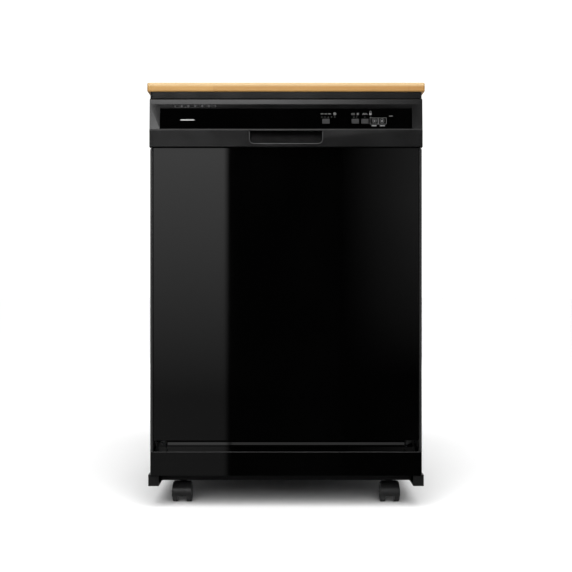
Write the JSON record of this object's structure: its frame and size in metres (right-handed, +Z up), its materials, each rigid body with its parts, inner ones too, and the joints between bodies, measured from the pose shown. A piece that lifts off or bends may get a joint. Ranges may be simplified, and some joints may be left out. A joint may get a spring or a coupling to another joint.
{
  "type": "portable dishwasher",
  "caption": "Black front-loading dishwasher on casters with a wooden worktop, drop-down door, control panel with hand pocket, racks, spray arms and a rear hose bin.",
  "frame": {"origin": "on the floor under the centre of the overall box", "axes": "+Z up, the door faces -Y, +X is to the right of someone facing the door"},
  "size_m": [0.6128, 0.673, 0.9398],
  "materials": {
    "worktop_wood": "oiled laminated maple, satin",
    "black_gloss": "moulded gloss black plastic",
    "black_enamel": "gloss black enamelled steel sheet",
    "black_satin": "satin black powder coat",
    "dark_steel": "dark powder coated steel",
    "zinc_steel": "zinc plated steel",
    "tub_grey": "talc filled polypropylene, satin",
    "liner_grey": "talc filled polypropylene, satin",
    "dark_plastic": "moulded black plastic, fine texture",
    "vent_black": "moulded black plastic",
    "button_grey": "moulded grey plastic",
    "fitting_grey": "moulded grey plastic",
    "white_plastic": "moulded white plastic",
    "blue_plastic": "moulded blue plastic",
    "seal_rubber": "EPDM seal",
    "caster_black": "moulded nylon, satin",
    "caster_tread": "hard rubber tread",
    "rack_coat": "nylon coated steel wire",
    "heater_steel": "sheathed heating tube",
    "board_green": "lacquered circuit board",
    "pump_dark": "moulded pump housing"
  },
  "bodies": {
    "cabinet": {"worktop": "worktop_wood", "top_frame": "dark_plastic", "side_panel_left": "black_satin", "side_panel_right": "black_satin", "rear_panel": "dark_steel", "storage_bin": "dark_plastic", "rear_glands": "fitting_grey", "base_frame": "dark_steel", "caster_sockets": "zinc_steel", "front_frame": "zinc_steel", "tub": "tub_grey", "tub_gasket": "seal_rubber", "sump": "dark_plastic", "filter_screen": "fitting_grey", "heating_element": "heater_steel", "wash_pump": "pump_dark", "drain_pump": "white_plastic", "inlet_valve": "white_plastic", "junction_box": "zinc_steel", "feed_tube": "fitting_grey", "rack_rails": "zinc_steel", "access_panel": "black_enamel", "hinge_brackets": "zinc_steel", "door_springs": "zinc_steel", "latch_strike": "zinc_steel", "cabinet_screws": "dark_steel"},
    "door": {"door_panel": "black_enamel", "door_liner": "liner_grey", "console": "black_gloss", "fascia": "black_enamel", "console_vent": "vent_black", "control_board": "board_green", "door_latch": "dark_plastic", "hinge_arms": "zinc_steel", "dispenser_body": "liner_grey"},
    "pawl": {"latch_pawl": "zinc_steel"},
    "lid": {"dispenser_lid": "liner_grey"},
    "cap": {"rinse_aid_cap": "blue_plastic"},
    "key_cycle": {"cycle_button": "button_grey"},
    "key_dry": {"dry_button": "button_grey"},
    "key_option": {"option_button": "button_grey"},
    "key_start": {"start_button": "black_gloss"},
    "key_cancel": {"cancel_button": "black_gloss"},
    "float": {"float_cap": "white_plastic"},
    "rack_upper": {"upper_rack": "rack_coat", "upper_rack_rollers": "fitting_grey", "upper_manifold": "fitting_grey"},
    "arm_upper": {"upper_spray_arm": "fitting_grey"},
    "rack_lower": {"lower_rack": "rack_coat", "lower_rack_wheels": "fitting_grey", "cutlery_basket": "fitting_grey"},
    "arm_lower": {"lower_spray_arm": "fitting_grey"},
    "yoke_front_left": {"caster_yoke_front_left": "caster_black"},
    "wheels_front_left": {"caster_wheels_front_left": "caster_tread"},
    "yoke_front_right": {"caster_yoke_front_right": "caster_black"},
    "wheels_front_right": {"caster_wheels_front_right": "caster_tread"},
    "yoke_rear_left": {"caster_yoke_rear_left": "caster_black"},
    "wheels_rear_left": {"caster_wheels_rear_left": "caster_tread"},
    "yoke_rear_right": {"caster_yoke_rear_right": "caster_black"},
    "wheels_rear_right": {"caster_wheels_rear_right": "caster_tread"}
  },
  "joints": [
    {"name": "door_hinge", "type": "hinge", "parent": "cabinet", "child": "door", "pos_m": [0, -0.3055, 0.152], "axis": [1, 0, 0], "range_deg": [0, 90], "stiffness_Nm_per_rad": 12, "springref_deg": -6.88, "deforming": ["door_springs"]},
    {"name": "upper_rack_slide", "type": "slide", "parent": "cabinet", "child": "rack_upper", "axis": [0, -1, 0], "range_m": [0, 0.38]},
    {"name": "lower_rack_slide", "type": "slide", "parent": "cabinet", "child": "rack_lower", "axis": [0, -1, 0], "range_m": [0, 0.149]},
    {"name": "latch_pawl_slide", "type": "slide", "parent": "door", "child": "pawl", "axis": [0, 0, -1], "range_m": [0, 0.004], "stiffness_N_per_m": 300, "springref_m": -0.001},
    {"name": "dispenser_lid_slide", "type": "slide", "parent": "door", "child": "lid", "axis": [-1, 0, 0], "range_m": [0, 0.07]},
    {"name": "rinse_cap_turn", "type": "hinge", "parent": "door", "child": "cap", "pos_m": [0.045, -0.266, 0.54], "axis": [0, 1, 0], "range_deg": [0, 90]},
    {"name": "float_slide", "type": "slide", "parent": "cabinet", "child": "float", "axis": [0, 0, 1], "range_m": [0, 0.008]},
    {"name": "upper_arm_spin", "type": "hinge", "parent": "rack_upper", "child": "arm_upper", "pos_m": [0, -0.027, 0.522], "axis": [0, 0, 1], "continuous": true},
    {"name": "lower_arm_spin", "type": "hinge", "parent": "cabinet", "child": "arm_lower", "pos_m": [0, -0.027, 0.188], "axis": [0, 0, 1], "continuous": true},
    {"name": "cycle_button_push", "type": "slide", "parent": "door", "child": "key_cycle", "axis": [0, 1, 0], "range_m": [0, 0.0008], "stiffness_N_per_m": 400, "springref_m": -0.0004},
    {"name": "dry_button_push", "type": "slide", "parent": "door", "child": "key_dry", "axis": [0, 1, 0], "range_m": [0, 0.0008], "stiffness_N_per_m": 400, "springref_m": -0.0004},
    {"name": "option_button_push", "type": "slide", "parent": "door", "child": "key_option", "axis": [0, 1, 0], "range_m": [0, 0.0008], "stiffness_N_per_m": 400, "springref_m": -0.0004},
    {"name": "start_button_push", "type": "slide", "parent": "door", "child": "key_start", "axis": [0, 1, 0], "range_m": [0, 0.0008], "stiffness_N_per_m": 400, "springref_m": -0.0004},
    {"name": "cancel_button_push", "type": "slide", "parent": "door", "child": "key_cancel", "axis": [0, 1, 0], "range_m": [0, 0.0008], "stiffness_N_per_m": 400, "springref_m": -0.0004},
    {"name": "swivel_front_left", "type": "hinge", "parent": "cabinet", "child": "yoke_front_left", "pos_m": [-0.236, -0.235, 0.06], "axis": [0, 0, 1], "continuous": true},
    {"name": "roll_front_left", "type": "hinge", "parent": "yoke_front_left", "child": "wheels_front_left", "pos_m": [-0.236, -0.249, 0.022], "axis": [1, 0, 0], "continuous": true},
    {"name": "swivel_front_right", "type": "hinge", "parent": "cabinet", "child": "yoke_front_right", "pos_m": [0.236, -0.235, 0.06], "axis": [0, 0, 1], "continuous": true},
    {"name": "roll_front_right", "type": "hinge", "parent": "yoke_front_right", "child": "wheels_front_right", "pos_m": [0.236, -0.249, 0.022], "axis": [1, 0, 0], "continuous": true},
    {"name": "swivel_rear_left", "type": "hinge", "parent": "cabinet", "child": "yoke_rear_left", "pos_m": [-0.236, 0.245, 0.06], "axis": [0, 0, 1], "continuous": true},
    {"name": "roll_rear_left", "type": "hinge", "parent": "yoke_rear_left", "child": "wheels_rear_left", "pos_m": [-0.236, 0.231, 0.022], "axis": [1, 0, 0], "continuous": true},
    {"name": "swivel_rear_right", "type": "hinge", "parent": "cabinet", "child": "yoke_rear_right", "pos_m": [0.236, 0.245, 0.06], "axis": [0, 0, 1], "continuous": true},
    {"name": "roll_rear_right", "type": "hinge", "parent": "yoke_rear_right", "child": "wheels_rear_right", "pos_m": [0.236, 0.231, 0.022], "axis": [1, 0, 0], "continuous": true}
  ],
  "couplings": [
    {"joint": "upper_rack_slide", "follows": "door_hinge", "m_per_rad": 0.2419},
    {"joint": "lower_rack_slide", "follows": "door_hinge", "m_per_rad": 0.0948}
  ]
}
